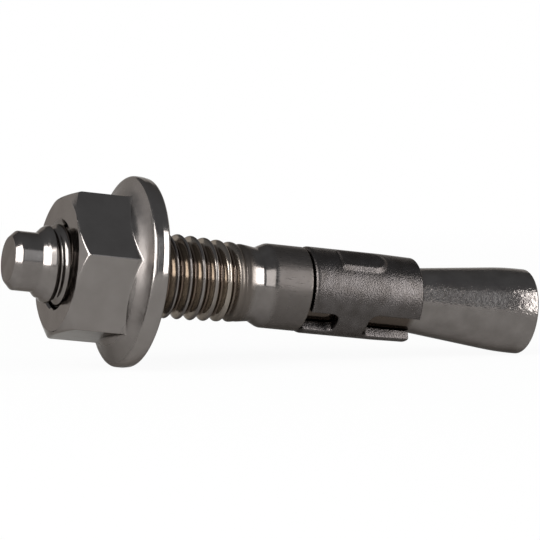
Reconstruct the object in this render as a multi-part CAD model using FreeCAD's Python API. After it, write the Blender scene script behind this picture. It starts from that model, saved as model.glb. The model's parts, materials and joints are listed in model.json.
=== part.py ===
"""Stainless M8 x 50 wedge anchor, lying on its nut flange and its cone.

Three loose pieces make the anchor: the stud, the split expansion clip that
is rolled round its neck, and the hexagon nut with its own flange.  Each one
is modelled along the anchor's axis, which runs along +X with x = 0 at the
driven end and the cone at the far end, and is then laid down at rest.
All sizes are in millimetres.
"""
import FreeCAD, Part
import math
import os

Vector = FreeCAD.Vector

# ---------------------------------------------------------------- stud
overall_length = 50.0
dog_face_diameter = 4.2         # flat end that the hammer hits
dog_diameter = 5.24
dog_length = 2.4                # includes its 45 degree chamfer
thread_diameter = 7.7           # over the rolled crests
thread_lead_angle = 45.0        # chamfer that starts the thread
full_thread_end = 17.3          # station where the crests start to fade
thread_end = 22.4               # station where they have run out
shank_diameter = 6.8            # plain neck behind the thread
shank_length = 0.85
shoulder_length = 0.75
shoulder_radius = 0.7
collar_diameter = 7.63
collar_length = 3.5
collar_edge = 0.12              # chamfer
clip_seat_diameter = 5.8        # reduced neck that the clip is rolled on
clip_seat_length = 10.55
cone_half_angle = 6.0
cone_diameter = 7.86            # land at the large end
cone_blend_radius = 28.0
cone_edge = 0.15                # chamfer

# ---------------------------------------------------------------- clip
sheet_thickness = 0.9
clip_gap = 0.13                 # between the clip's bore and its seat
clip_play = 0.2                 # between the collar and the clip
clip_length = 10.65
clip_edge = 0.2                 # chamfer
seam_width = 0.9
notch_width = 2.4               # cut at the collar end
notch_length = 2.8
notch_corner_radius = 0.7
slot_width = 3.0                # cut at the cone end
slot_length = 4.85
slot_corner_radius = 0.85
slot_angle = -47.0              # from the side that faces -Y, up positive
boss_width = 3.0
boss_length = 4.75
boss_start = 2.65               # from the clip's collar end
boss_height = 0.14
boss_edge = 0.12                # chamfer
boss_corner_radius = 0.5
boss_offset_angle = 103.0       # each side of the slot

# ---------------------------------------------------------------- nut
nut_height = 7.55
nut_station = 12.05             # bearing face of the flange
hexagon_flats = 12.2
hexagon_corner_radius = 0.2
hexagon_turn = 11.0             # a corner, above the side that faces -Y
chamfer_circle = 11.8           # flat part of the end face
chamfer_angle = 30.0
flange_diameter = 17.0
flange_rim = 1.45               # thickness at the rim, before rounding
flange_slope = 27.0
flange_front_radius = 0.5
flange_back_edge = 0.35         # chamfer
thread_clearance = 0.05         # radial, between the nut's bore and crests
countersink_diameter = 8.4
countersink_angle = 45.0


def line(a, b):
    return Part.LineSegment(a, b).toShape()


def arc(a, middle, b):
    return Part.Arc(a, middle, b).toShape()


def section(corners):
    """A face in the XZ plane, from (station, radius, rounding) corners."""
    count = len(corners)
    spots = [Vector(corner[0], 0.0, corner[1]) for corner in corners]
    halves = []
    reaches = []
    for i in range(count):
        to_last = spots[i - 1] - spots[i]
        to_next = spots[(i + 1) % count] - spots[i]
        halves.append(to_last.getAngle(to_next) / 2.0)
        reaches.append(corners[i][2] / math.tan(halves[i]))
    # two roundings that would meet on a short run share it
    for i in range(count):
        j = (i + 1) % count
        run = (spots[j] - spots[i]).Length
        need = reaches[i] + reaches[j]
        if need > run:
            reaches[i] *= 0.98 * run / need
            reaches[j] *= 0.98 * run / need
    edges = []
    last = None
    for i in range(count + 1):
        k = i % count
        here = spots[k]
        to_last = (spots[k - 1] - here).normalize()
        to_next = (spots[(k + 1) % count] - here).normalize()
        start = here + to_last * reaches[k]
        end = here + to_next * reaches[k]
        if last is not None:
            edges.append(line(last, start))
        if reaches[k] > 0.0 and i < count:
            rounding = reaches[k] * math.tan(halves[k])
            inward = (to_last + to_next).normalize()
            middle = here + inward * (rounding / math.sin(halves[k]) - rounding)
            edges.append(arc(start, middle, end))
        last = end
    return Part.Face(Part.Wire(edges))


def turned(corners, degrees=360.0):
    """The section, revolved about the anchor's axis from +Z towards -Y."""
    return section(corners).revolve(Vector(0, 0, 0), Vector(1, 0, 0), degrees)


def tube(x0, x1, r0, r1, degrees=360.0):
    return turned([(x0, r0, 0), (x1, r0, 0), (x1, r1, 0), (x0, r1, 0)], degrees)


def to_angle(shape, degrees):
    """Turn what lies on +Z to an angle measured from -Y towards +Z."""
    moved = shape.copy()
    moved.rotate(Vector(0, 0, 0), Vector(-1, 0, 0), degrees - 90.0)
    return moved


def collar_end():
    return thread_end + shank_length + shoulder_length + collar_length


def make_stud():
    crest = thread_diameter / 2.0
    dog = dog_diameter / 2.0
    dog_face = dog_face_diameter / 2.0
    shank = shank_diameter / 2.0
    collar = collar_diameter / 2.0
    seat = clip_seat_diameter / 2.0
    land = cone_diameter / 2.0
    lead = (crest - dog) / math.tan(math.radians(thread_lead_angle))
    cone_start = collar_end() + clip_seat_length
    cone_length = (land - seat) / math.tan(math.radians(cone_half_angle))
    return turned([
        (0.0, 0.0, 0),
        (0.0, dog_face, 0),
        (dog - dog_face, dog, 0),
        (dog_length, dog, 0),
        (dog_length + lead, crest, 0),
        (full_thread_end, crest, 0),
        (thread_end, shank, 0),
        (thread_end + shank_length, shank, shoulder_radius),
        (thread_end + shank_length + shoulder_length, collar, shoulder_radius),
        (collar_end() - collar_edge, collar, 0),
        (collar_end(), collar - collar_edge, 0),
        (collar_end(), seat, 0),
        (cone_start, seat, 0),
        (cone_start + cone_length, land, cone_blend_radius),
        (overall_length - cone_edge, land, 0),
        (overall_length, land - cone_edge, 0),
        (overall_length, 0.0, 0),
    ])


def clip_start():
    return collar_end() + clip_play


def clip_bore():
    return clip_seat_diameter / 2.0 + clip_gap


def clip_outer():
    return clip_bore() + sheet_thickness


def cutter(x0, x1, arc_width, degrees):
    """A block with radial sides that goes right through the sheet."""
    spread = math.degrees(arc_width / clip_outer())
    block = tube(x0, x1, clip_bore() - clip_gap, clip_outer() + sheet_thickness, spread)
    return to_angle(block, degrees + spread / 2.0)


def open_notch(x_open, x_closed, arc_width, corner_radius, degrees):
    """A cutter whose closed end has rounded corners."""
    block = cutter(min(x_open, x_closed), max(x_open, x_closed), arc_width, degrees)
    corners = []
    for edge in block.Edges:
        a = edge.Vertexes[0].Point
        b = edge.Vertexes[-1].Point
        radial = abs(math.hypot(a.y, a.z) - math.hypot(b.y, b.z)) > sheet_thickness
        if radial and abs(a.x - x_closed) < 1e-6 and abs(b.x - x_closed) < 1e-6:
            corners.append(edge)
    return block.makeFillet(min(corner_radius, 0.45 * arc_width), corners)


def boss_block(inset, r0, r1, degrees):
    """A boss's outline, square at one end and round at the other, as a block."""
    x0 = clip_start() + boss_start + inset
    x1 = clip_start() + boss_start + boss_length - inset
    half = boss_width / 2.0 - inset
    corner = min(boss_corner_radius, 0.9 * half)
    mid = corner * (1.0 - math.sqrt(0.5))
    turn = x1 - half
    outline = [
        line(Vector(x0, corner - half, 0), Vector(x0, half - corner, 0)),
        arc(Vector(x0, half - corner, 0), Vector(x0 + mid, half - mid, 0), Vector(x0 + corner, half, 0)),
        line(Vector(x0 + corner, half, 0), Vector(turn, half, 0)),
        arc(Vector(turn, half, 0), Vector(x1, 0, 0), Vector(turn, -half, 0)),
        line(Vector(turn, -half, 0), Vector(x0 + corner, -half, 0)),
        arc(Vector(x0 + corner, -half, 0), Vector(x0 + mid, mid - half, 0), Vector(x0, corner - half, 0)),
    ]
    block = Part.Face(Part.Wire(outline)).extrude(Vector(0, 0, 2.0 * r1))
    return to_angle(block.common(tube(x0 - r1, x1 + r1, r0, r1)), degrees)


def make_boss(degrees):
    """The raised side of one pressed boss, with its top edge eased."""
    top = clip_outer() + boss_height
    block = boss_block(0.0, clip_outer() - sheet_thickness / 2.0, top, degrees)
    rim = []
    for edge in block.Edges:
        middle = edge.valueAt((edge.FirstParameter + edge.LastParameter) / 2.0)
        if abs(math.hypot(middle.y, middle.z) - top) < 1e-3:
            rim.append(edge)
    return block.makeChamfer(min(boss_edge, 0.9 * boss_height), rim)


def make_clip():
    x0 = clip_start()
    x1 = x0 + clip_length
    spare = sheet_thickness
    clip = turned([
        (x0, clip_bore(), 0),
        (x1, clip_bore(), 0),
        (x1, clip_outer() - clip_edge, 0),
        (x1 - clip_edge, clip_outer(), 0),
        (x0 + clip_edge, clip_outer(), 0),
        (x0, clip_outer() - clip_edge, 0),
    ])
    for side in (-1.0, 1.0):
        degrees = slot_angle + side * boss_offset_angle
        hollow = boss_block(boss_height, clip_bore() - clip_gap, clip_bore() + boss_height, degrees)
        clip = clip.fuse(make_boss(degrees)).cut(hollow)
    clip = clip.cut(open_notch(x0 - spare, x0 + notch_length, notch_width, notch_corner_radius, slot_angle))
    clip = clip.cut(open_notch(x1 + spare, x1 - slot_length, slot_width, slot_corner_radius, slot_angle))
    seam = cutter(x0 - spare, x1 + spare, seam_width, slot_angle + 180.0)
    return clip.cut(seam).removeSplitter()


def hexagon_prism(x0, x1):
    """The hexagon with its rounded corners, along the axis."""
    radius = hexagon_flats / math.sqrt(3.0)
    corners = []
    for i in range(6):
        angle = math.radians(60.0 * i + hexagon_turn)
        corners.append(Vector(x0, -radius * math.cos(angle), radius * math.sin(angle)))
    sides = [line(corners[i - 1], corners[i]) for i in range(6)]
    prism = Part.Face(Part.Wire(sides)).extrude(Vector(x1 - x0, 0, 0))
    long_edges = [e for e in prism.Edges if abs(e.Vertexes[0].X - e.Vertexes[-1].X) > 1e-6]
    return prism.makeFillet(hexagon_corner_radius, long_edges)


def make_nut():
    bearing = nut_station
    top = bearing - nut_height
    rim = flange_diameter / 2.0
    bore = thread_diameter / 2.0 + thread_clearance
    sink = countersink_diameter / 2.0
    slope = math.tan(math.radians(flange_slope))
    flange_front = bearing - flange_rim
    # the flange's cone goes on inside the hexagon, short of the bore
    inner = (hexagon_flats / 2.0 + bore) / 2.0
    cone_front = flange_front - (rim - inner) * slope
    flange = turned([
        (bearing, 0.0, 0),
        (bearing, rim - flange_back_edge, 0),
        (bearing - flange_back_edge, rim, 0),
        (flange_front, rim, flange_front_radius),
        (cone_front, inner, 0),
        (cone_front, 0.0, 0),
    ])
    chamfer = chamfer_circle / 2.0
    drop = (hexagon_flats - chamfer) * math.tan(math.radians(chamfer_angle))
    envelope = turned([
        (top, 0.0, 0),
        (top, chamfer, 0),
        (top + drop, hexagon_flats, 0),
        (bearing, hexagon_flats, 0),
        (bearing, 0.0, 0),
    ])
    hexagon = hexagon_prism(top, bearing - flange_rim / 2.0).common(envelope)
    nut = hexagon.fuse(flange).removeSplitter()
    sink_depth = (sink - bore) / math.tan(math.radians(countersink_angle))
    spare = thread_clearance
    hole = turned([
        (top - spare, 0.0, 0),
        (top - spare, sink, 0),
        (top, sink, 0),
        (top + sink_depth, bore, 0),
        (bearing - sink_depth, bore, 0),
        (bearing, sink, 0),
        (bearing + spare, sink, 0),
        (bearing + spare, 0.0, 0),
    ])
    return nut.cut(hole)


def rest_pose():
    """Tilt, lift and shift that lay the anchor on its flange and its cone."""
    rim_x = nut_station - flange_back_edge
    rim_r = flange_diameter / 2.0
    end_x = overall_length - cone_edge
    end_r = cone_diameter / 2.0
    tilt = math.atan2(rim_r - end_r, end_x - rim_x)
    lift = end_x * math.sin(tilt) + end_r * math.cos(tilt)
    low_x = -dog_face_diameter / 2.0 * math.sin(tilt)
    high_x = overall_length * math.cos(tilt) + (end_r - cone_edge) * math.sin(tilt)
    shift = -(low_x + high_x) / 2.0
    return tilt, lift, shift


def laid_down(shape):
    tilt, lift, shift = rest_pose()
    placed = shape.copy()
    placed.rotate(Vector(0, 0, 0), Vector(0, 1, 0), math.degrees(tilt))
    placed.translate(Vector(shift, 0, lift))
    return placed


os.makedirs("parts", exist_ok=True)
pieces = {"stud": make_stud(), "expansion_clip": make_clip(), "flange_nut": make_nut()}
for name, piece in pieces.items():
    placed_piece = laid_down(piece)
    placed_piece.exportStep("parts/" + name + ".step")
    print(name, len(placed_piece.Solids), "solid,", len(placed_piece.Faces), "faces,",
          round(placed_piece.Volume, 2), "mm3, valid", placed_piece.isValid())
tilt, lift, shift = rest_pose()
print("tilt", round(math.degrees(tilt), 3), "deg, lift", round(lift, 4), "mm, shift", round(shift, 4), "mm")
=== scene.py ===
import bpy
import bmesh
import json
import math
from mathutils import Matrix, Quaternion, Vector


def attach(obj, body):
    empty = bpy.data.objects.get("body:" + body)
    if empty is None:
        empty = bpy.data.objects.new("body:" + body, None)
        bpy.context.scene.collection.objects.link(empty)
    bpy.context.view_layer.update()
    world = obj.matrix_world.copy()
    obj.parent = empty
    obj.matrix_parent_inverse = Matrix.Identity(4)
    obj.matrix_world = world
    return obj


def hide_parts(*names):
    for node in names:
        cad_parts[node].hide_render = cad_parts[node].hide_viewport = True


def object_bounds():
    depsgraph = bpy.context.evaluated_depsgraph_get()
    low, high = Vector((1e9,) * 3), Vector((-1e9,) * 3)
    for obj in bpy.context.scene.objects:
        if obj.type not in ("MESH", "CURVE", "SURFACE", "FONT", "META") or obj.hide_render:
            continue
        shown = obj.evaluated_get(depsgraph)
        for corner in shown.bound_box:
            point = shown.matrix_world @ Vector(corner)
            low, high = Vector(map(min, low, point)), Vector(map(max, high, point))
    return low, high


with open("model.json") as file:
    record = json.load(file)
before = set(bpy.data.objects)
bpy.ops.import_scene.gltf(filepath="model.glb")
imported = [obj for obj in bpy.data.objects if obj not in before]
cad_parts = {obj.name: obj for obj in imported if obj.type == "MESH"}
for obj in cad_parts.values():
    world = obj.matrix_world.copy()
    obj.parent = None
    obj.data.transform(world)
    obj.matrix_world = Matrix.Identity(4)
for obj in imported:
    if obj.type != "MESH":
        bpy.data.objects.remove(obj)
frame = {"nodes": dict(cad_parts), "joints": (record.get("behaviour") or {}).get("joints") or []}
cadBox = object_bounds()
mm = 0.001
weld, speck = 1e-5, 1e-6       # points this close are one, and edges this short go
print("frame loaded:", ", ".join(sorted(frame["nodes"])))

# the anchor's own axis: x runs from the driven end to the cone, in mm
joints = {joint["name"]: joint for joint in frame["joints"]}
axisWay = Vector(joints["nut_travel"]["axis"]).normalized()
sideWay = Vector((0.0, 1.0, 0.0))
topWay = axisWay.cross(sideWay)
hingeStation = 33.0            # where the clip's hinge point lies on the axis
axisStart = Vector(joints["clip_turn"]["pos_m"]) - axisWay * hingeStation * mm
toRest = Matrix((
    (axisWay.x * mm, sideWay.x * mm, topWay.x * mm, axisStart.x),
    (axisWay.y * mm, sideWay.y * mm, topWay.y * mm, axisStart.y),
    (axisWay.z * mm, sideWay.z * mm, topWay.z * mm, axisStart.z),
    (0.0, 0.0, 0.0, 1.0),
))


def spot(station, radius, angle):
    # angle runs from the side that faces -Y towards the top
    return (station, -radius * math.cos(angle), radius * math.sin(angle))


def eased(share):
    # 0 to 1, level at both ends
    share = min(1.0, max(0.0, share))
    return share * share * (3.0 - 2.0 * share)


def roundedPath(corners, closed=False, hold=0.02):
    # corners are (station, radius, rounding, steps); each rounding is a true arc with a
    # holding point on both sides, so that the flat parts keep a flat shade
    path = []
    last = len(corners) - 1
    for i, (station, radius, rounding, steps) in enumerate(corners):
        here = Vector((station, radius))
        if not steps or (not closed and i in (0, last)):
            path.append(here)
            continue
        toLast = (Vector(corners[i - 1][:2]) - here).normalized()
        toNext = (Vector(corners[(i + 1) % len(corners)][:2]) - here).normalized()
        half = toLast.angle(toNext) / 2.0
        reach = rounding / math.tan(half)
        centre = here + (toLast + toNext).normalized() * rounding / math.sin(half)
        start = here + toLast * reach - centre
        sweep = start.angle_signed(here + toNext * reach - centre)
        path.append(centre + start + toLast * hold)
        for k in range(steps + 1):
            turn = -sweep * k / steps
            path.append(centre + Matrix.Rotation(turn, 2) @ start)
        path.append(here + toNext * (reach + hold))
    return path


def finerPath(path, first, last, step):
    # cuts the runs between two stations into short pieces
    finer = [path[0]]
    for a, b in zip(path, path[1:]):
        count = 1
        if min(a.x, b.x) >= first - speck and max(a.x, b.x) <= last + speck:
            count = max(1, math.ceil((b - a).length / step))
        finer += [a.lerp(b, k / count) for k in range(1, count + 1)]
    return finer


def meshObject(name, bm):
    bmesh.ops.remove_doubles(bm, verts=bm.verts, dist=weld)
    bmesh.ops.recalc_face_normals(bm, faces=bm.faces)
    for face in bm.faces:
        face.smooth = True
    mesh = bpy.data.meshes.new(name)
    bm.to_mesh(mesh)
    bm.free()
    piece = bpy.data.objects.new(name, mesh)
    bpy.context.scene.collection.objects.link(piece)
    return piece


def ringMesh(name, rings, closed):
    # rings[k] is the whole loop of points at one angle; the last joins the first
    bm = bmesh.new()
    rows = [[bm.verts.new(point) for point in ring] for ring in rings]
    count = len(rows[0])
    for a, b in zip(rows, rows[1:] + rows[:1]):
        for i in range(count if closed else count - 1):
            j = (i + 1) % count
            bm.faces.new((a[i], a[j], b[j], b[i]))
    bmesh.ops.dissolve_degenerate(bm, dist=speck, edges=bm.edges)
    return meshObject(name, bm)


def feed(tree, socket, value):
    # a socket takes a value, another socket, or the live output of a node
    if isinstance(value, bpy.types.Node):
        value = next(output for output in value.outputs if output.enabled)
    if isinstance(value, bpy.types.NodeSocket):
        tree.links.new(value, socket)
    else:
        socket.default_value = value


def addNode(tree, kind, settings=None, inputs=None):
    # one node with its settings and links
    node = tree.nodes.new(kind)
    for name, value in (settings or {}).items():
        setattr(node, name, value)
    for name, value in (inputs or {}).items():
        feed(tree, node.inputs[name], value)
    return node


# thread: a helical ridge, cut into a turned piece by a rule
thread = {
    "pitch": 1.25, "crestStation": 0.806,
    "rootHalfWidth": 0.11, "rootBlend": 0.12,
    "flankAngle": 60.0,            # from the axis, so that the flanks stand at 60 degrees to each other
    "crestBlend": 0.4,             # rolling rounds the crest's edges into the flanks
}


def threadTree():
    tree = bpy.data.node_groups.new("helicalThread", "GeometryNodeTree")
    face = tree.interface
    face.new_socket("Geometry", in_out="INPUT", socket_type="NodeSocketGeometry")
    for name in ("Pitch", "Crest Station", "Root Half Width", "Root Blend", "Flank Slope",
                 "Crest Blend", "Root Radius", "Nut Radius", "Full Until", "Gone At"):
        face.new_socket(name, in_out="INPUT", socket_type="NodeSocketFloat")
    face.new_socket("Inside", in_out="INPUT", socket_type="NodeSocketBool")
    face.new_socket("Steel", in_out="INPUT", socket_type="NodeSocketMaterial")
    face.new_socket("Geometry", in_out="OUTPUT", socket_type="NodeSocketGeometry")

    found = dict(addNode(tree, "NodeGroupInput").outputs.items())
    place = addNode(tree, "GeometryNodeInputPosition")
    parts = addNode(tree, "ShaderNodeSeparateXYZ", None, {0: place})
    found.update(zip("xyz", parts.outputs))
    other = {"switch": ("GeometryNodeSwitch", {"input_type": "FLOAT"}),
             "fade": ("ShaderNodeMapRange", {"interpolation_type": "SMOOTHSTEP"})}
    # a node a line: its result, what it does, and its terms; a stud's crest lies on its turned
    # outline, so the thread grows and fades with the blank
    for name, does, *terms in (
        ("ySquare", "MULTIPLY", "y", "y"),
        ("zSquare", "MULTIPLY", "z", "z"),
        ("radiusSquare", "ADD", "ySquare", "zSquare"),
        ("radius", "SQRT", "radiusSquare"),
        ("forward", "MULTIPLY", "y", -1.0),
        ("angle", "ARCTAN2", "z", "forward"),
        ("turns", "DIVIDE", "angle", math.tau),
        ("fromCrest", "SUBTRACT", "x", "Crest Station"),
        ("along", "DIVIDE", "fromCrest", "Pitch"),
        ("pitches", "ADD", "along", "turns"),
        ("phase", "FRACT", "pitches"),
        ("rootSigned", "SUBTRACT", "phase", 0.5),
        ("rootShare", "ABSOLUTE", "rootSigned"),
        ("fromRoot", "MULTIPLY", "rootShare", "Pitch"),
        ("pastFlat", "SUBTRACT", "fromRoot", "Root Half Width"),
        ("past", "SMOOTH_MAX", "pastFlat", 0.0, "Root Blend"),
        ("flank", "MULTIPLY", "past", "Flank Slope"),
        ("crest", "switch", "Inside", "radius", "Nut Radius"),
        ("vee", "ADD", "Root Radius", "flank"),
        ("ridge", "SMOOTH_MIN", "crest", "vee", "Crest Blend"),
        ("depth", "fade", "x", "Full Until", "Gone At", 1.0, 0.0),
        ("groove", "SUBTRACT", "ridge", "crest"),
        ("shownGroove", "MULTIPLY", "depth", "groove"),
        ("cut", "ADD", "crest", "shownGroove"),
        ("outer", "MINIMUM", "radius", "cut"),
        ("inner", "MAXIMUM", "radius", "cut"),
        ("target", "switch", "Inside", "outer", "inner"),
        ("safeRadius", "MAXIMUM", "radius", 1e-4),
        ("scale", "DIVIDE", "target", "safeRadius"),
        ("newY", "MULTIPLY", "y", "scale"),
        ("newZ", "MULTIPLY", "z", "scale"),
        ("threaded", "LESS_THAN", "x", "Gone At"),
    ):
        kind, settings = other.get(does, ("ShaderNodeMath", {"operation": does}))
        inputs = {k: found.get(term, term) for k, term in enumerate(terms)}
        found[name] = addNode(tree, kind, settings, inputs)

    moved = addNode(tree, "ShaderNodeCombineXYZ", None,
                    {0: found["x"], 1: found["newY"], 2: found["newZ"]})
    rolled = addNode(tree, "GeometryNodeSetPosition", None,
                     {"Geometry": found["Geometry"], "Selection": found["threaded"], "Position": moved})
    real = addNode(tree, "GeometryNodeRealizeInstances", None, {0: rolled})
    steel = addNode(tree, "GeometryNodeSetMaterial", None,
                    {"Geometry": real, "Material": found["Steel"]})
    addNode(tree, "NodeGroupOutput", None, {0: steel})
    return tree


helicalThread = threadTree()


def cutThread(piece, values):
    # runs the thread rule and keeps its result as a plain mesh
    values = {
        "Pitch": thread["pitch"], "Crest Station": thread["crestStation"],
        "Root Half Width": thread["rootHalfWidth"], "Root Blend": thread["rootBlend"],
        "Flank Slope": math.tan(math.radians(thread["flankAngle"])),
        "Crest Blend": thread["crestBlend"], **values,
    }
    modifier = piece.modifiers.new("thread", "NODES")
    modifier.node_group = helicalThread
    for item in helicalThread.interface.items_tree:
        if item.in_out == "INPUT" and item.name in values:
            modifier[item.identifier] = values[item.name]
    piece.data.update()
    graph = bpy.context.evaluated_depsgraph_get()
    graph.update()
    result = bpy.data.meshes.new_from_object(piece.evaluated_get(graph), depsgraph=graph)
    piece.modifiers.remove(modifier)
    old = piece.data
    piece.data = result
    bpy.data.meshes.remove(old)
    for polygon in result.polygons:
        polygon.use_smooth = True


# steel: what the three finishes share
multiply = {"operation": "MULTIPLY"}
clampedSum = {"operation": "ADD", "use_clamp": True}
mixColours = {"data_type": "RGBA"}     # its two colours are inputs 6 and 7
glancing = "bcb9b6"                    # what bare steel reflects at a glancing angle
noiseSpan = (0.3, 0.7)                 # a noise texture keeps mostly between these


def linearColour(text):
    # sRGB hex to linear
    values = [int(text[i:i + 2], 16) / 255.0 for i in (0, 2, 4)]
    return [v / 12.92 if v <= 0.04045 else ((v + 0.055) / 1.055) ** 2.4 for v in values] + [1.0]


def newSteel(name):
    material = bpy.data.materials.new(name)
    material.use_nodes = True
    shader = material.node_tree.nodes["Principled BSDF"]
    shader.inputs["Metallic"].default_value = 1.0
    shader.inputs["Specular Tint"].default_value = linearColour(glancing)
    return material, material.node_tree, shader


def axisPlace(tree):
    # the place along the anchor's own axis, in mm from the driven end
    tilt = math.atan2(-axisWay.z, axisWay.x)
    coordinates = addNode(tree, "ShaderNodeTexCoord")
    mapped = addNode(tree, "ShaderNodeMapping", {"vector_type": "TEXTURE"},
                     {"Vector": coordinates.outputs["Object"], "Location": axisStart,
                      "Rotation": (0.0, tilt, 0.0), "Scale": (mm, mm, mm)})
    parts = addNode(tree, "ShaderNodeSeparateXYZ", None, {0: mapped})
    flat = addNode(tree, "ShaderNodeCombineXYZ", None, {1: parts.outputs[1], 2: parts.outputs[2]})
    radius = addNode(tree, "ShaderNodeVectorMath", {"operation": "LENGTH"}, {0: flat})
    return mapped, parts.outputs[0], radius


def lumps(tree, mapped, size, along=1.0, detail=3.0, rough=0.55):
    # noise with lumps about size mm wide, drawn out along the axis
    scaled = addNode(tree, "ShaderNodeMapping", None,
                     {"Vector": mapped, "Scale": (1.0 / (size * along), 1.0 / size, 1.0 / size)})
    return addNode(tree, "ShaderNodeTexNoise", None,
                   {"Vector": scaled, "Scale": 1.0, "Detail": detail, "Roughness": rough})


def spread(value, fromRange, toRange=(0.0, 1.0)):
    # what a Map Range node is given
    return {"Value": value, "From Min": fromRange[0], "From Max": fromRange[1],
            "To Min": toRange[0], "To Max": toRange[1]}


def between(tree, value, first, last, soft):
    # 1 between two values, with a soft edge at both
    rise = addNode(tree, "ShaderNodeMapRange", None, spread(value, (first - soft, first + soft)))
    fall = addNode(tree, "ShaderNodeMapRange", None,
                   spread(value, (last - soft, last + soft), (1.0, 0.0)))
    return addNode(tree, "ShaderNodeMath", multiply, {0: rise, 1: fall})


def finishSteel(tree, shader, colour, rough, height, deep):
    # links a finish to its shader; a full step of height stands for deep mm
    bump = addNode(tree, "ShaderNodeBump", None, {"Distance": deep * mm, "Height": height})
    for name, node in (("Base Color", colour), ("Roughness", rough), ("Normal", bump)):
        feed(tree, shader.inputs[name], node)


# stud: turned outline, then the thread; in mm from the driven end
stud = {
    "faceRadius": 2.05, "dogRadius": 2.62, "dogLength": 2.4, "dogRounding": 0.25, "dogFoot": 0.1,
    # where the rolled thread's crests run: station and radius
    "lead": [(2.64, 2.86), (2.92, 3.16), (3.35, 3.42), (4.7, 3.62), (6.2, 3.85)],
    "crests": [(13.0, 3.85), (15.6, 3.8), (17.6, 3.75), (19.3, 3.66), (20.8, 3.58)],
    "leadRounding": 0.2, "rootRadius": 3.1, "fullUntil": 20.5, "threadEnd": 21.75, "pastEnd": 0.2,
    "shankStart": 3.48, "waist": 22.95, "waistRadius": 3.33, "waistRounding": 0.5,
    "collarStart": 23.95, "shoulderRounding": 1.0,
    "collarRadius": 3.815, "collarEnd": 27.5, "collarRounding": 0.14,
    "seatRadius": 2.9, "seatRounding": 0.25,
    "coneStart": 38.05, "coneHalfAngle": 6.0, "landRadius": 3.93,
    "coneBlend": 28.0, "endRounding": 0.2, "length": 50.0,
    "segments": 144, "rowStep": 0.05,
    "finish": {
        "dark": "6c6764", "light": "7a7572",
        # lumps: mm wide, how far drawn out along the axis, detail; the real grain and marks are
        # finer than this and are drawn as coarse as they need to show
        "patches": (1.6, 1.0, 3.0), "grain": (0.14, 2.5, 3.0),
        "marks": (0.09, 16.0, 2.0), "pits": (0.26, 1.5, 3.0),
        "collarTint": "514c49", "collarShare": 0.7, "collarSoft": 0.35,
        # stretches: from, to, and how soft their ends are; the flank tint is a painted highlight, a
        # brighter, warmer steel for light bounced between the flanks
        "threaded": (11.5, 20.6, 0.5), "flankBounceHighlight": "92897f", "flankRadii": (3.6, 3.72),
        # painted shade: a darker, browner steel in the thread's roots
        "rootShadeTint": "5c5047", "rootRadii": (3.1, 3.3),
        "runout": (20.4, 22.0, 0.3), "runoutTint": "57504a", "runoutShare": 0.8, "runoutRough": 0.2,
        # painted shade: a darker steel on the seat under the clip
        "underClipShadeTint": "4b433d", "underSoft": 0.3,
        "rough": (0.1, 0.2), "collarRough": (0.12, 0.26),
        "coneFrom": (37.5, 38.5), "grainRelief": 0.08, "markRelief": 0.5, "pitRelief": 0.8,
        "relief": 0.014,
    },
}


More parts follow.
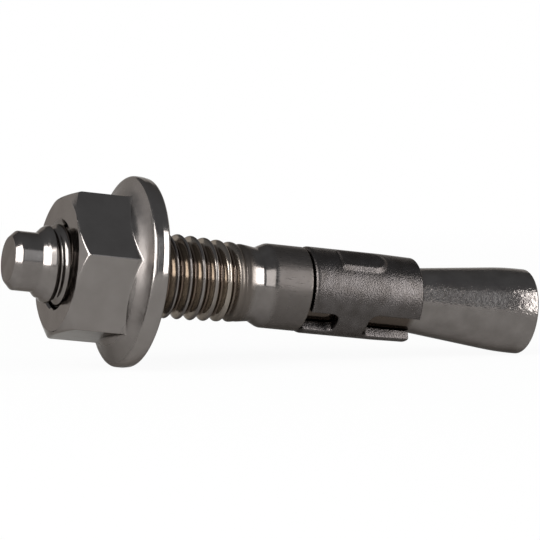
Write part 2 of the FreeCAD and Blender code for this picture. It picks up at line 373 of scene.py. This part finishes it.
def studSteel():
    # cold-formed stainless steel, rolled and tumbled: satin, with fine draw marks and grey patches
    f = stud["finish"]
    material, tree, shader = newSteel("coldFormedStainless")
    mapped, station, radius = axisPlace(tree)
    patches, grain, marks, pits = [lumps(tree, mapped, *f[name])
                                   for name in ("patches", "grain", "marks", "pits")]
    collar = between(tree, station, stud["collarStart"], stud["collarEnd"], f["collarSoft"])
    threaded = between(tree, station, *f["threaded"])
    runout = between(tree, station, *f["runout"])
    # painted shade: the seat under the clip takes a darker steel where the clip shades it
    under = between(tree, station, stud["collarEnd"], stud["coneStart"], f["underSoft"])

    # painted light: the flanks take a brighter, warmer steel for light bounced between them, and the
    # roots and the seat under the clip a darker one for painted shade
    mottle = addNode(tree, "ShaderNodeMapRange", None, spread(patches, noiseSpan))
    collarTint = addNode(tree, "ShaderNodeMath", multiply, {0: collar, 1: f["collarShare"]})
    # painted highlight: below the crests the threaded stretch takes a brighter, warmer steel, standing
    # in for light bounced between the flanks
    low = addNode(tree, "ShaderNodeMapRange", None, spread(radius, f["flankRadii"], (1.0, 0.0)))
    flank = addNode(tree, "ShaderNodeMath", multiply, {0: low, 1: threaded})
    # painted shade: the roots take a darker, browner steel where shade falls in the grooves
    lowest = addNode(tree, "ShaderNodeMapRange", None, spread(radius, f["rootRadii"], (1.0, 0.0)))
    root = addNode(tree, "ShaderNodeMath", multiply, {0: lowest, 1: threaded})
    runoutTint = addNode(tree, "ShaderNodeMath", multiply, {0: runout, 1: f["runoutShare"]})
    colour = linearColour(f["dark"])
    for share, tint in ((mottle, "light"), (collarTint, "collarTint"), (flank, "flankBounceHighlight"),
                        (root, "rootShadeTint"), (runoutTint, "runoutTint"), (under, "underClipShadeTint")):
        colour = addNode(tree, "ShaderNodeMix", mixColours,
                         {0: share, 6: colour, 7: linearColour(f[tint])})

    # duller where the rolled thread runs out and on the drawn collar
    drawn = addNode(tree, "ShaderNodeMapRange", None, spread(marks, noiseSpan, f["collarRough"]))
    drawn = addNode(tree, "ShaderNodeMath", multiply, {0: collar, 1: drawn})
    faded = addNode(tree, "ShaderNodeMath", multiply, {0: runout, 1: f["runoutRough"]})
    dull = addNode(tree, "ShaderNodeMath", clampedSum, {0: drawn, 1: faded})
    satin = addNode(tree, "ShaderNodeMapRange", None, spread(grain, noiseSpan, f["rough"]))
    rough = addNode(tree, "ShaderNodeMath", clampedSum, {0: satin, 1: dull})

    # draw marks stand on the collar, and pits on the cone
    fine = addNode(tree, "ShaderNodeMath", multiply, {0: grain, 1: f["grainRelief"]})
    scored = addNode(tree, "ShaderNodeMath", multiply, {0: marks, 1: collar})
    scored = addNode(tree, "ShaderNodeMath", multiply, {0: scored, 1: f["markRelief"]})
    onCone = addNode(tree, "ShaderNodeMapRange", None, spread(station, f["coneFrom"]))
    onCone = addNode(tree, "ShaderNodeMath", multiply, {0: onCone, 1: f["pitRelief"]})
    pitted = addNode(tree, "ShaderNodeMapRange", None, spread(pits, noiseSpan))
    pitted = addNode(tree, "ShaderNodeMath", multiply, {0: pitted, 1: onCone})
    height = addNode(tree, "ShaderNodeMath", clampedSum, {0: fine, 1: scored})
    height = addNode(tree, "ShaderNodeMath", clampedSum, {0: height, 1: pitted})
    finishSteel(tree, shader, colour, rough, height, f["relief"])
    return material


def makeStud():
    s = stud
    rise = s["landRadius"] - s["seatRadius"]
    landStart = s["coneStart"] + rise / math.tan(math.radians(s["coneHalfAngle"]))
    path = roundedPath([
        (0.0, 0.0, 0, 0),
        (0.0, s["faceRadius"], s["dogRounding"], 5),
        (s["dogRadius"] - s["faceRadius"], s["dogRadius"], s["dogRounding"], 5),
        (s["dogLength"], s["dogRadius"], s["dogFoot"], 3),
        *[(station, radius, s["leadRounding"], 3) for station, radius in s["lead"]],
        *[(station, radius, 0, 0) for station, radius in s["crests"]],
        (s["threadEnd"], s["shankStart"], 0, 0),
        (s["waist"], s["waistRadius"], s["waistRounding"], 10),
        (s["collarStart"], s["collarRadius"], s["shoulderRounding"], 6),
        (s["collarEnd"], s["collarRadius"], s["collarRounding"], 4),
        (s["collarEnd"], s["seatRadius"], s["seatRounding"], 4),
        (s["coneStart"], s["seatRadius"], 0, 0),
        (landStart, s["landRadius"], s["coneBlend"], 8),
        (s["length"], s["landRadius"], s["endRounding"], 5),
        (s["length"], 0.0, 0, 0),
    ])
    path = finerPath(path, s["dogLength"] + s["dogFoot"], s["threadEnd"] + s["pastEnd"], s["rowStep"])
    angles = [math.tau * k / s["segments"] for k in range(s["segments"])]
    piece = ringMesh("threadedStud", [[spot(p.x, p.y, a) for p in path] for a in angles], False)
    cutThread(piece, {
        "Root Radius": s["rootRadius"], "Nut Radius": 0.0,
        "Full Until": s["fullUntil"], "Gone At": s["threadEnd"],
        "Inside": False, "Steel": steels["stud"],
    })
    piece.data.transform(toRest)
    return piece


# nut: one outline for each angle, because the hexagon's radius changes with it
nut = {
    "bearing": 12.05, "height": 7.55, "flats": 12.2, "cornerRounding": 0.2, "turn": 11.0,
    "chamferRadius": 5.9, "chamferAngle": 30.0, "chamferRounding": 0.15, "edgeRounding": 0.42,
    "footRounding": 0.35, "innerSlope": 33.0, "outerSlope": 21.0,
    "domeRadius": 7.5, "domeRounding": 6.0, "domeRoom": 4.0,
    "flangeRadius": 8.496, "rim": 1.45, "frontRounding": 0.4,
    "taperFrom": 0.75, "taper": 0.11, "taperRounding": 0.8, "backRounding": 0.3,
    "sinkRadius": 4.05, "sinkRounding": 0.05, "minorRadius": 3.42, "majorRadius": 3.93,
    "threadStep": 0.06, "cornerSteps": 4, "flatSteps": 22, "pastCorner": 0.12,
    "finish": {
        "dark": "77726f", "light": "7f7a77", "patches": 2.5, "ripple": 0.8,
        "rough": (0.1, 0.18), "relief": 0.008,
        "flangeRadii": (6.6, 8.2, 0.2), "flangeFrom": (9.3, 9.8), "flangeRough": 0.22,
    },
}


def nutSteel():
    # cold-formed stainless steel, smooth off the die: bright, with faint ripples
    f = nut["finish"]
    material, tree, shader = newSteel("smoothStainless")
    mapped, station, radius = axisPlace(tree)
    patches = lumps(tree, mapped, f["patches"])
    mottle = addNode(tree, "ShaderNodeMapRange", None, spread(patches, noiseSpan))
    colour = addNode(tree, "ShaderNodeMix", mixColours,
                     {0: mottle, 6: linearColour(f["dark"]), 7: linearColour(f["light"])})
    # the flange's face is duller than the flats and the rim
    ripple = lumps(tree, mapped, f["ripple"])
    smooth = addNode(tree, "ShaderNodeMapRange", None, spread(ripple, noiseSpan, f["rough"]))
    face = between(tree, radius, *f["flangeRadii"])
    flange = addNode(tree, "ShaderNodeMapRange", None, spread(station, f["flangeFrom"]))
    flange = addNode(tree, "ShaderNodeMath", multiply, {0: face, 1: flange})
    flange = addNode(tree, "ShaderNodeMath", multiply, {0: flange, 1: f["flangeRough"]})
    rough = addNode(tree, "ShaderNodeMath", clampedSum, {0: smooth, 1: flange})
    finishSteel(tree, shader, colour, rough, ripple, f["relief"])
    return material


halfSide = math.radians(30.0)


def hexagonRadius(fromCorner):
    # the hexagon's radius at an angle from its nearest corner, with the corner rounded
    flat = nut["flats"] / 2.0
    rounding = nut["cornerRounding"]
    centre = (flat - rounding) / math.cos(halfSide)
    tangent = math.atan2(rounding * 0.5, centre + rounding * math.cos(halfSide))
    if abs(fromCorner) < tangent:
        reach = math.sqrt(rounding ** 2 - (centre * math.sin(fromCorner)) ** 2)
        return centre * math.cos(fromCorner) + reach
    return flat / math.cos(halfSide - abs(fromCorner))


def nutAngles():
    # close together across the rounded corners, evenly spaced along the flats
    edge = math.atan2(nut["cornerRounding"] * 0.5, nut["flats"] / 2.0 / math.cos(halfSide))
    side = 2.0 * halfSide - 2.0 * edge
    finest, even = nut["cornerSteps"], nut["flatSteps"]
    steps = [edge * k / finest for k in range(-finest, finest + 1)]
    # one more line just past each corner holds its shade
    steps += [edge * (1.0 + nut["pastCorner"])]
    steps += [edge + side * k / even for k in range(1, even)]
    steps += [edge * (1.0 - nut["pastCorner"]) + side]
    angles = []
    for corner in range(6):
        for step in steps:
            near = step if step <= halfSide else 2.0 * halfSide - step
            angles.append((math.radians(nut["turn"] + 60.0 * corner) + step, hexagonRadius(near)))
    return angles


def makeNut():
    n = nut
    top = n["bearing"] - n["height"]
    front = n["bearing"] - n["rim"]
    dome = front - (n["flangeRadius"] - n["domeRadius"]) * math.tan(math.radians(n["outerSlope"]))
    slope = math.tan(math.radians(n["innerSlope"]))
    sinkDepth = n["sinkRadius"] - n["minorRadius"]
    rings = []
    for angle, radius in nutAngles():
        shoulder = top + (radius - n["chamferRadius"]) * math.tan(math.radians(n["chamferAngle"]))
        foot = dome - (n["domeRadius"] - radius) * slope
        # the dome is sharper where a corner leaves it little room
        domeRounding = min(n["domeRounding"], (n["domeRadius"] - radius) * n["domeRoom"])
        path = roundedPath([
            (top, n["sinkRadius"], n["sinkRounding"], 2),
            (top, n["chamferRadius"], n["chamferRounding"], 2),
            (shoulder, radius, n["edgeRounding"], 4),
            (foot, radius, n["footRounding"], 6),
            (dome, n["domeRadius"], domeRounding, 5),
            (front, n["flangeRadius"], n["frontRounding"], 7),
            (front + n["taperFrom"], n["flangeRadius"], n["taperRounding"], 3),
            (n["bearing"], n["flangeRadius"] - n["taper"], n["backRounding"], 7),
            (n["bearing"], n["sinkRadius"], n["sinkRounding"], 2),
            (n["bearing"] - sinkDepth, n["minorRadius"], 0, 0),
            (top + sinkDepth, n["minorRadius"], 0, 0),
        ], closed=True)
        path.append(path[0])
        # the bore's stretch comes last, and is cut finely for the thread
        inner = next(p for p in path if p.y <= n["sinkRadius"] - n["sinkRounding"])
        start = path.index(inner)
        path = path[:start] + finerPath(path[start - 1:], top, n["bearing"], n["threadStep"])[1:]
        path.pop()
        rings.append([spot(p.x, p.y, angle) for p in path])
    piece = ringMesh("hexagonFlangeNut", rings, True)
    beyond = n["bearing"] + n["height"]        # the nut's own thread never fades
    cutThread(piece, {
        "Root Radius": n["minorRadius"], "Nut Radius": n["majorRadius"],
        "Full Until": beyond, "Gone At": beyond + 1.0,
        "Inside": True, "Steel": steels["nut"],
    })
    piece.data.transform(toRest)
    return piece


# clip: a rolled sheet, laid out as (distance along, angle from the slot's middle)
clip = {
    "start": 27.7, "length": 10.65, "bore": 3.03, "sheet": 0.9, "slotAngle": -47.0,
    "notchHalf": 1.2, "notchLength": 2.8, "notchCorner": 0.7,
    "slotHalf": 1.5, "slotLength": 4.85, "slotCorner": 0.85, "seamHalf": 0.45,
    "startRounding": 0.35, "endRounding": 0.2, "cutRounding": 0.2,
    "waistFrom": 7.45, "waistDrop": 0.07,      # the end towards the cone is drawn in a little
    "bossStart": 2.65, "bossLength": 4.75, "bossHalf": 1.5, "bossHeight": 0.2, "bossAngle": 103.0,
    "bossStep": 0.1, "bossSide": 0.5, "bossNose": 0.5,
    "rowStep": 0.12, "columns": 96, "bridgeColumns": 8,
    "easing": (0.015, 0.05, 0.1, 0.16),        # rows close together at every edge
    "closest": 0.012,                          # rows nearer each other than this are left out
    "cornerSteps": 8, "sharpAngle": 40.0,
    "finish": {
        "dark": "464240", "light": "555150", "patches": 1.2,
        # the tumbler's grain is finer on the real sheet, and is drawn as coarse as it needs to show
        "grain": (0.13, 1.0, 3.0, 0.6), "rough": (0.2, 0.34), "relief": 0.03,
    },
}


def clipSteel():
    # pressed stainless sheet: matte and grainy from the tumbler
    f = clip["finish"]
    material, tree, shader = newSteel("pressedStainlessSheet")
    mapped = axisPlace(tree)[0]
    patches = lumps(tree, mapped, f["patches"])
    mottle = addNode(tree, "ShaderNodeMapRange", None, spread(patches, noiseSpan))
    colour = addNode(tree, "ShaderNodeMix", mixColours,
                     {0: mottle, 6: linearColour(f["dark"]), 7: linearColour(f["light"])})
    grain = lumps(tree, mapped, *f["grain"])
    rough = addNode(tree, "ShaderNodeMapRange", None, spread(grain, noiseSpan, f["rough"]))
    finishSteel(tree, shader, colour, rough, grain, f["relief"])
    return material


def openHalf(along):
    # half the opening at the slot's middle line, in mm of arc
    c = clip
    intoNotch = c["notchLength"] - along
    intoSlot = along - (c["length"] - c["slotLength"])
    for into, half, corner in ((intoNotch, c["notchHalf"], c["notchCorner"]),
                               (intoSlot, c["slotHalf"], c["slotCorner"])):
        if into >= 0.0:
            short = max(0.0, corner - into)
            return half - corner + math.sqrt(max(0.0, corner ** 2 - short ** 2))
    # on the bridge between them the line runs straight from one flat end to the other
    share = -intoNotch / (c["length"] - c["slotLength"] - c["notchLength"])
    notchEnd, slotEnd = c["notchHalf"] - c["notchCorner"], c["slotHalf"] - c["slotCorner"]
    return notchEnd * (1.0 - share) + slotEnd * share


def quarterDrop(into, rounding):
    # how far a rounded edge falls away at a distance from the edge
    if into >= rounding:
        return 0.0
    return rounding - math.sqrt(max(0.0, rounding ** 2 - (rounding - max(0.0, into)) ** 2))


def fromOpening(along, across):
    # distance from the nearest cut edge of the notch, the slot or the seam
    c = clip
    nearest = math.pi * (c["bore"] + c["sheet"]) - c["seamHalf"] - across
    slotStart = c["length"] - c["slotLength"]
    for beyond, half, corner in ((along - c["notchLength"], c["notchHalf"], c["notchCorner"]),
                                 (slotStart - along, c["slotHalf"], c["slotCorner"])):
        x, y = beyond + corner, across - half + corner
        outside = math.hypot(max(x, 0.0), max(y, 0.0)) + min(max(x, y), 0.0) - corner
        nearest = min(nearest, outside)
    return nearest


def bossRise(along, across):
    # how far the pressed boss stands out: steep at its start, soft at its sides and its nose
    c = clip
    x = along - c["bossStart"]
    y = abs(across)
    turn = c["bossLength"] - c["bossHalf"]
    if x < 0.0 or y >= c["bossHalf"]:
        return 0.0
    rise = 1.0
    for into, soft in ((x, c["bossStep"]), (c["bossHalf"] - y, c["bossSide"])):
        rise *= eased(into / soft)
    if x > turn - c["bossNose"]:
        into = c["bossHalf"] - math.hypot(max(0.0, x - turn), y)
        rise = min(rise, eased(into / c["bossNose"]))
    return c["bossHeight"] * rise


def outerRadius(along, across, fromBoss):
    c = clip
    drop = max(quarterDrop(along, c["startRounding"]),
               quarterDrop(c["length"] - along, c["endRounding"]),
               quarterDrop(fromOpening(along, across), c["cutRounding"]))
    drawn = min(1.0, max(0.0, (along - c["waistFrom"]) / (c["length"] - c["waistFrom"])))
    return c["bore"] + c["sheet"] - drop - c["waistDrop"] * drawn + bossRise(along, fromBoss)


def clipStations():
    c = clip
    slotStart = c["length"] - c["slotLength"]
    fixed = {0.0, c["length"], c["notchLength"], slotStart, c["bossStart"]}
    extra = set()
    for k in range(1, c["cornerSteps"] + 1):
        into = 1.0 - math.cos(math.radians(90.0 * k / c["cornerSteps"]))
        extra |= {c["startRounding"] * into, c["length"] - c["endRounding"] * into,
                  c["notchLength"] - c["notchCorner"] * into, slotStart + c["slotCorner"] * into}
    for step in c["easing"]:
        extra |= {c["notchLength"] + step, slotStart - step, c["bossStart"] + step}
    count = math.ceil(c["length"] / c["rowStep"])
    extra |= {c["length"] * k / count for k in range(1, count)}
    kept = sorted(fixed)
    for station in sorted(extra):
        if min(abs(station - other) for other in kept) > c["closest"]:
            kept.append(station)
    return sorted(kept)


def columnOffsets(low, high):
    # from the opening's edge to the seam's edge, close together at both
    easing = clip["easing"]
    first, last = low + easing[-1], high - easing[-1]
    middle = [first + (last - first) * k / clip["columns"] for k in range(clip["columns"] + 1)]
    return [low] + [low + e for e in easing[:-1]] + middle + [high - e for e in easing[-2::-1]] + [high]


def makeClip():
    c = clip
    outer = c["bore"] + c["sheet"]
    stations = clipStations()
    slotStart = c["length"] - c["slotLength"]
    bossAt = math.radians(c["bossAngle"]) * outer
    middle = math.radians(c["slotAngle"])
    bridge = c["bridgeColumns"]
    bm = bmesh.new()
    known = {}
    rows = []
    for along in stations:
        low = openHalf(along)
        offsets = columnOffsets(low, math.pi * outer - c["seamHalf"])
        rows.append([low * k / bridge for k in range(bridge)] + offsets)

    def corner(i, k, side, inside):
        key = (i, k, side if k else 0, inside)
        if key not in known:
            across = rows[i][k]
            radius = c["bore"] if inside else outerRadius(stations[i], across, across - bossAt)
            angle = middle + side * across / outer
            known[key] = bm.verts.new(spot(c["start"] + stations[i], radius, angle))
        return known[key]

    for side in (1, -1):
        for i in range(len(stations) - 1):
            bridged = c["notchLength"] - speck <= stations[i] and stations[i + 1] <= slotStart + speck
            for k in range(0 if bridged else bridge, len(rows[i]) - 1):
                for inside in (False, True):
                    bm.faces.new([corner(i, k, side, inside), corner(i + 1, k, side, inside),
                                  corner(i + 1, k + 1, side, inside), corner(i, k + 1, side, inside)])
    # the walls between the outer and the inner skin, along every free edge
    partner = {v: known[key[:3] + (True,)] for key, v in known.items() if not key[3]}
    for edge in [e for e in bm.edges if e.is_boundary and all(v in partner for v in e.verts)]:
        a, b = edge.verts
        bm.faces.new((a, b, partner[b], partner[a]))
    piece = meshObject("splitExpansionClip", bm)
    piece.data.set_sharp_from_angle(angle=math.radians(c["sharpAngle"]))
    piece.data.transform(toRest)
    piece.data.materials.append(steels["clip"])
    return piece


steels = {"stud": studSteel(), "clip": clipSteel(), "nut": nutSteel()}
print("materials made")

pieces = {"stud": makeStud(), "expansion_clip": makeClip(), "flange_nut": makeNut()}
bodies = {"stud": "stud", "expansion_clip": "clip", "flange_nut": "nut"}
for node, piece in pieces.items():
    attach(piece, bodies[node])
    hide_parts(node)
    print("made", piece.name, len(piece.data.polygons), "faces")

# stage: a round pale table whose rim rises behind the anchor; in metres
stage = {
    "radius": 0.62, "bend": 0.05, "bendRise": 0.6, "bendSteps": 8, "steps": 180,
    "frontRim": 0.035, "backRim": 0.35, "risesFrom": 70.0, "risesTo": 100.0,   # degrees from the front
    "colour": "d4d4d2",
    # white to the eye and to metal: a share near the anchor, all of it farther off
    "glow": 0.94, "mirrored": 0.2, "shadeUntil": 0.04, "whiteFrom": 0.25,
}


def rimHeight(azimuth):
    # azimuth 0 lies in front of the anchor
    t = stage
    share = eased((abs(azimuth) - t["risesFrom"]) / (t["risesTo"] - t["risesFrom"]))
    return t["frontRim"] + (t["backRim"] - t["frontRim"]) * share


def paleTable():
    t = stage
    bm = bmesh.new()
    rows = []
    for k in range(t["steps"]):
        azimuth = 360.0 * k / t["steps"] - 180.0
        flat = t["radius"] - t["bend"]
        outline = [(0.0, 0.0), (t["radius"] * 0.5, 0.0), (flat, 0.0)]
        for j in range(1, t["bendSteps"] + 1):
            turn = math.radians(90.0 * j / t["bendSteps"])
            outline.append((t["radius"] - t["bend"] * (1.0 - math.sin(turn)),
                            t["bend"] * (1.0 - math.cos(turn)) * t["bendRise"]))
        outline.append((t["radius"], rimHeight(azimuth)))
        a = math.radians(azimuth)
        rows.append([bm.verts.new((x * math.sin(a), -x * math.cos(a), z)) for x, z in outline])
    for a, b in zip(rows, rows[1:] + rows[:1]):
        for i in range(len(a) - 1):
            bm.faces.new((a[i], a[i + 1], b[i + 1], b[i]))
    return meshObject("paleTable", bm)


def palePaper():
    t = stage
    material = bpy.data.materials.new("palePaper")
    material.use_nodes = True
    tree = material.node_tree
    tree.nodes.clear()
    ray = addNode(tree, "ShaderNodeLightPath").outputs
    place = addNode(tree, "ShaderNodeTexCoord").outputs["Object"]
    away = addNode(tree, "ShaderNodeVectorMath", {"operation": "LENGTH"}, {0: place})
    fade = (t["shadeUntil"], t["whiteFrom"])
    # the eye keeps the anchor's shadow, and metal sees the table's own shade close to the anchor
    toEye = addNode(tree, "ShaderNodeMapRange", None, spread(away, fade, (t["glow"], 1.0)))
    toMetal = addNode(tree, "ShaderNodeMapRange", None,
                      spread(away, fade, (t["mirrored"] * t["glow"], t["glow"])))
    seen = addNode(tree, "ShaderNodeMath", multiply, {0: ray["Is Camera Ray"], 1: toEye})
    mirrored = addNode(tree, "ShaderNodeMath", multiply, {0: ray["Is Glossy Ray"], 1: toMetal})
    through = addNode(tree, "ShaderNodeMath", multiply, {0: ray["Is Transmission Ray"], 1: t["glow"]})
    share = addNode(tree, "ShaderNodeMath", {"operation": "ADD"}, {0: seen, 1: mirrored})
    share = addNode(tree, "ShaderNodeMath", clampedSum, {0: share, 1: through})
    paper = addNode(tree, "ShaderNodeBsdfDiffuse", None, {"Color": linearColour(t["colour"])})
    white = addNode(tree, "ShaderNodeEmission", None, {"Color": (1.0, 1.0, 1.0, 1.0), "Strength": 1.0})
    both = addNode(tree, "ShaderNodeMixShader", None, {0: share, 1: paper, 2: white})
    addNode(tree, "ShaderNodeOutputMaterial", None, {"Surface": both})
    return material


table = paleTable()
table.data.materials.append(palePaper())
print("table set")

# light: two soft boxes on the left, a leaning strip on the right, a faint cool strip
# in front, and a dim cool room; sizes in metres, angles in degrees from the front
lamps = {
    "leftNear": {"azimuth": -39.0, "elevation": 27.0, "width": 0.25, "height": 0.32, "radiance": 2.6},
    "leftFar": {"azimuth": -72.0, "elevation": 24.0, "width": 0.24, "height": 0.29, "radiance": 11.0},
    "rightStrip": {"azimuth": 45.0, "elevation": 20.0, "width": 0.12, "height": 0.32, "lean": 26.0,
                   "radiance": 10.0},
    "frontFill": {"azimuth": 15.0, "elevation": 25.0, "width": 0.09, "height": 0.3, "lean": 15.0,
                  "radiance": 1.1, "colour": (0.92, 0.96, 1.0)},
}
lampDistance = 0.4
room = {"colour": "979b9f", "strength": 0.75}


def wayFrom(azimuth, elevation):
    a, e = math.radians(azimuth), math.radians(elevation)
    return Vector((math.sin(a) * math.cos(e), -math.cos(a) * math.cos(e), math.sin(e)))


def addLamp(name, values):
    lamp = bpy.data.lights.new(name, "AREA")
    lamp.shape = "RECTANGLE"
    lamp.size = values["width"]
    lamp.size_y = values["height"]
    lamp.energy = values["radiance"] * math.pi * values["width"] * values["height"]
    lamp.color = values.get("colour", (1.0, 1.0, 1.0))
    thing = bpy.data.objects.new(name, lamp)
    way = wayFrom(values["azimuth"], values["elevation"])
    thing.location = middlePoint + way * lampDistance
    lean = Quaternion((0.0, 0.0, 1.0), -math.radians(values.get("lean", 0.0)))
    thing.rotation_euler = (way.to_track_quat("Z", "Y") @ lean).to_euler()
    thing.visible_camera = False
    bpy.context.scene.collection.objects.link(thing)


middlePoint = (Vector(cadBox[0]) + Vector(cadBox[1])) / 2.0
for name, values in lamps.items():
    addLamp(name, values)
world = bpy.data.worlds.new("dimRoom")
world.use_nodes = True
background = world.node_tree.nodes["Background"]
background.inputs["Color"].default_value = linearColour(room["colour"])
background.inputs["Strength"].default_value = room["strength"]
bpy.context.scene.world = world

# camera: level with the anchor, from the driven end's side; the aim is a station on the
# axis and then mm to the right, up and back
view = {
    "azimuth": -21.774, "elevation": 3.677, "lens": 216.4, "clipStart": 0.01,
    "station": 11.81, "right": 11.97, "up": 0.2245, "back": 287.43,
}
camera = bpy.data.objects.new("camera", bpy.data.cameras.new("camera"))
camera.data.lens = view["lens"]
camera.data.clip_start = view["clipStart"]
backWay = wayFrom(view["azimuth"], view["elevation"])
turned = backWay.to_track_quat("Z", "Y")
rightWay = turned @ Vector((1.0, 0.0, 0.0))
upWay = turned @ Vector((0.0, 1.0, 0.0))
camera.location = (axisStart + axisWay * view["station"] * mm
                   + (rightWay * view["right"] + upWay * view["up"] + backWay * view["back"]) * mm)
camera.rotation_euler = turned.to_euler()
bpy.context.scene.collection.objects.link(camera)
bpy.context.scene.camera = camera
bpy.context.scene.view_settings.view_transform = "Standard"

print("camera and lights set")
